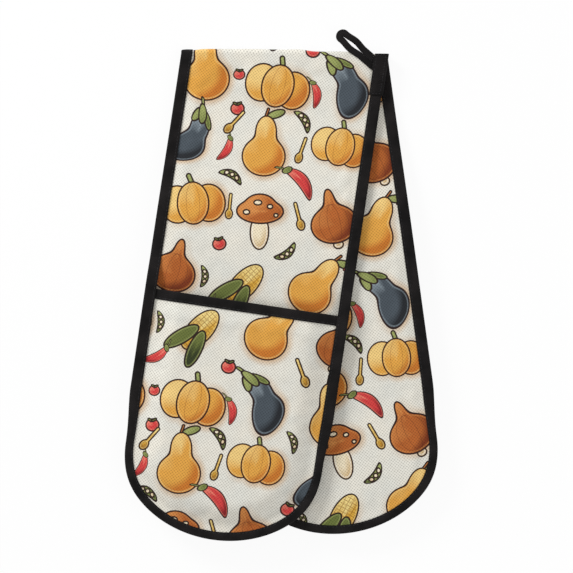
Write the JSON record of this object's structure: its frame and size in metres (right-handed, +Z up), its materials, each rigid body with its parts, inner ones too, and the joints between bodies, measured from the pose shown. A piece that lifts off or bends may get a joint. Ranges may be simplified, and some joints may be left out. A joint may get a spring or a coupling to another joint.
{
  "type": "double oven glove",
  "caption": "Long padded strip with round ends, folded in half, with a hand pocket at each end, taped edges and a hang loop at the fold.",
  "frame": {"origin": "centre of the bounding box in X and Y, on the table that the glove lies on", "axes": "+Z up from the table, +Y towards the fold, +X to the right with the pockets towards the viewer"},
  "size_m": [0.2792, 0.448, 0.0323],
  "materials": {
    "printed_cloth": "cream woven cloth with a small printed kitchen-garden pattern",
    "wadding": "white needled polyester wadding",
    "binding": "matt black woven bias tape",
    "loop_tape": "matt black soft tape, folded and sewn"
  },
  "bodies": {
    "back_half": {"back_plain_cloth": "printed_cloth", "back_wadding": "wadding", "back_pocket_side_cloth": "printed_cloth", "back_pocket_lining": "printed_cloth", "back_pocket_wadding": "wadding", "back_pocket_cloth": "printed_cloth", "back_mouth_binding": "binding", "back_edge_binding": "binding", "fold_plain_cloth": "printed_cloth", "fold_wadding": "wadding", "fold_pocket_side_cloth": "printed_cloth", "fold_binding_left": "binding", "fold_binding_right": "binding"},
    "front_half": {"front_plain_cloth": "printed_cloth", "front_wadding": "wadding", "front_pocket_side_cloth": "printed_cloth", "front_pocket_lining": "printed_cloth", "front_pocket_wadding": "wadding", "front_pocket_cloth": "printed_cloth", "front_mouth_binding": "binding", "front_edge_binding": "binding", "hang_loop_ends": "loop_tape", "binding_overlap": "binding"},
    "hang_loop": {"hang_loop": "loop_tape"}
  },
  "joints": [
    {"name": "fold", "type": "hinge", "parent": "back_half", "child": "front_half", "pos_m": [0.00043, 0.20368, 0.00515], "axis": [-1, 0, 0], "range_deg": [0, 174], "deforming": ["fold_plain_cloth", "fold_wadding", "fold_pocket_side_cloth", "fold_binding_left", "fold_binding_right"]},
    {"name": "loop_hinge", "type": "hinge", "parent": "front_half", "child": "hang_loop", "pos_m": [0.07802, 0.19668, 0.0116], "axis": [0.1418, 0.9899, 0], "range_deg": [0, 110]}
  ]
}
